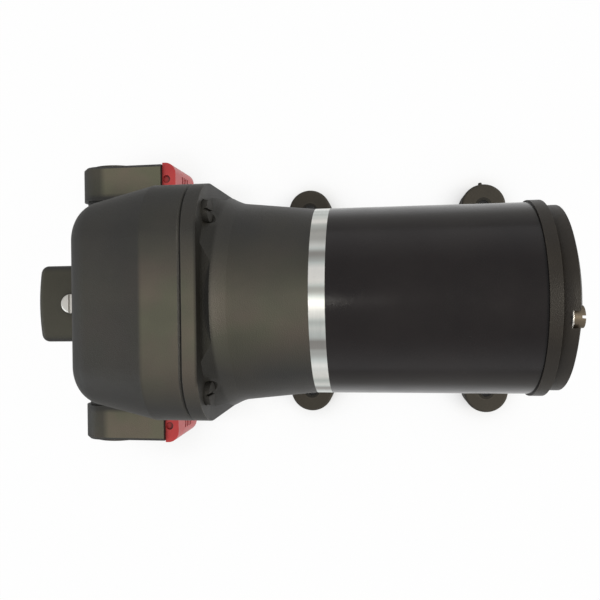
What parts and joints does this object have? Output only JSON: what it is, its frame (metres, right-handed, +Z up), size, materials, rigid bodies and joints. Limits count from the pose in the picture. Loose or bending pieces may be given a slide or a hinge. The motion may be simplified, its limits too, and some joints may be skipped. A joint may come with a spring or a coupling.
{
  "type": "caravan water pump",
  "caption": "Electric diaphragm water pump for a caravan: black moulded head with side ports, red slide clips, pressure switch, round motor and rubber feet on a sheet base.",
  "frame": {"origin": "on the floor, in the middle of the mounting holes of the four rubber feet", "axes": "+X along the motor, towards its rear cap, so the pump head points to -X; +Y to the inlet port; +Z up"},
  "size_m": [0.226, 0.1292, 0.1088],
  "materials": {
    "moulded_plastic": "satin moulded plastic with a fine spark-eroded grain",
    "cover_plastic": "satin moulded plastic",
    "cap_plastic": "satin moulded plastic",
    "clip_plastic": "semi-gloss red plastic",
    "inner_plastic": "natural moulded plastic",
    "valve_rubber": "smooth moulded rubber",
    "foot_rubber": "moulded rubber",
    "cast_aluminium": "turned bare aluminium",
    "cam_zinc": "die cast",
    "motor_paint": "glossy black enamel",
    "base_paint": "black powder coat",
    "screw_steel": "nickel plated",
    "bolt_brass": "yellow passivated",
    "bearing_steel": "ground steel",
    "core_steel": "stacked sheet",
    "magnet_ferrite": "sintered ferrite",
    "copper": "bare and enamelled copper",
    "carbon": "pressed carbon",
    "spring_steel": "drawn wire"
  },
  "bodies": {
    "housing": {"base_plate": "base_paint", "base_screws": "screw_steel", "bell_screws": "screw_steel", "brush_card": "inner_plastic", "brush_spring_left": "spring_steel", "brush_spring_right": "spring_steel", "cover_screw": "screw_steel", "diaphragm": "valve_rubber", "foot_sleeves": "screw_steel", "front_bearing_outer": "bearing_steel", "front_bell": "cast_aluminium", "head_screws": "screw_steel", "inlet_valves": "valve_rubber", "lead_grommet": "foot_rubber", "lower_housing": "moulded_plastic", "magnets": "magnet_ferrite", "micro_switch": "inner_plastic", "motor_shell": "motor_paint", "outlet_valve": "valve_rubber", "rear_bearing_outer": "bearing_steel", "rear_cap": "cap_plastic", "rubber_feet": "foot_rubber", "switch_body": "moulded_plastic", "switch_cover": "cover_plastic", "switch_diaphragm": "valve_rubber", "switch_screws": "screw_steel", "switch_spring": "spring_steel", "tie_bolts": "bolt_brass", "upper_housing": "moulded_plastic", "valve_gasket": "valve_rubber", "valve_plate": "inner_plastic"},
    "rotor": {"motor_shaft": "bearing_steel", "armature_core": "core_steel", "armature_windings": "copper", "commutator": "copper", "drive_cam": "cam_zinc", "cam_set_screw": "screw_steel", "wobble_bearing_inner": "bearing_steel", "front_bearing_inner": "bearing_steel", "rear_bearing_inner": "bearing_steel"},
    "wobble": {"wobble_plate": "inner_plastic", "wobble_bearing_outer": "bearing_steel", "diaphragm_centres": "valve_rubber", "outer_pistons": "inner_plastic", "piston_screws": "screw_steel"},
    "clip_left": {"port_clip_left": "clip_plastic"},
    "clip_right": {"port_clip_right": "clip_plastic"},
    "plunger": {"switch_plunger": "moulded_plastic"},
    "adjuster": {"switch_adjuster": "bolt_brass"},
    "brush_left": {"brush_left": "carbon"},
    "brush_right": {"brush_right": "carbon"}
  },
  "joints": [
    {"name": "rotor_spin", "type": "hinge", "parent": "housing", "child": "rotor", "pos_m": [0, 0, 0.063], "axis": [1, 0, 0], "continuous": true},
    {"name": "wobble_turn", "type": "hinge", "parent": "rotor", "child": "wobble", "pos_m": [-0.0792, 0, 0.063], "axis": [0.9986, 0, -0.0523], "continuous": true},
    {"name": "clip_left_slide", "type": "slide", "parent": "housing", "child": "clip_left", "axis": [1, 0, 0], "range_m": [0, 0.008]},
    {"name": "clip_right_slide", "type": "slide", "parent": "housing", "child": "clip_right", "axis": [1, 0, 0], "range_m": [0, 0.008]},
    {"name": "switch_plunger_slide", "type": "slide", "parent": "housing", "child": "plunger", "axis": [-1, 0, 0], "range_m": [0, 0.001], "stiffness_N_per_m": 200, "springref_m": -0.002, "deforming": ["switch_spring"]},
    {"name": "switch_adjuster_turn", "type": "hinge", "parent": "housing", "child": "adjuster", "pos_m": [-0.1497, 0, 0.0455], "axis": [1, 0, 0], "range_deg": [-180, 180]},
    {"name": "brush_left_slide", "type": "slide", "parent": "housing", "child": "brush_left", "axis": [0, 1, 0], "range_m": [0, 0.003], "stiffness_N_per_m": 100, "springref_m": -0.003, "deforming": ["brush_spring_left"]},
    {"name": "brush_right_slide", "type": "slide", "parent": "housing", "child": "brush_right", "axis": [0, -1, 0], "range_m": [0, 0.003], "stiffness_N_per_m": 100, "springref_m": -0.003, "deforming": ["brush_spring_right"]}
  ],
  "couplings": [
    {"joint": "wobble_turn", "follows": "rotor_spin", "ratio": -1}
  ]
}
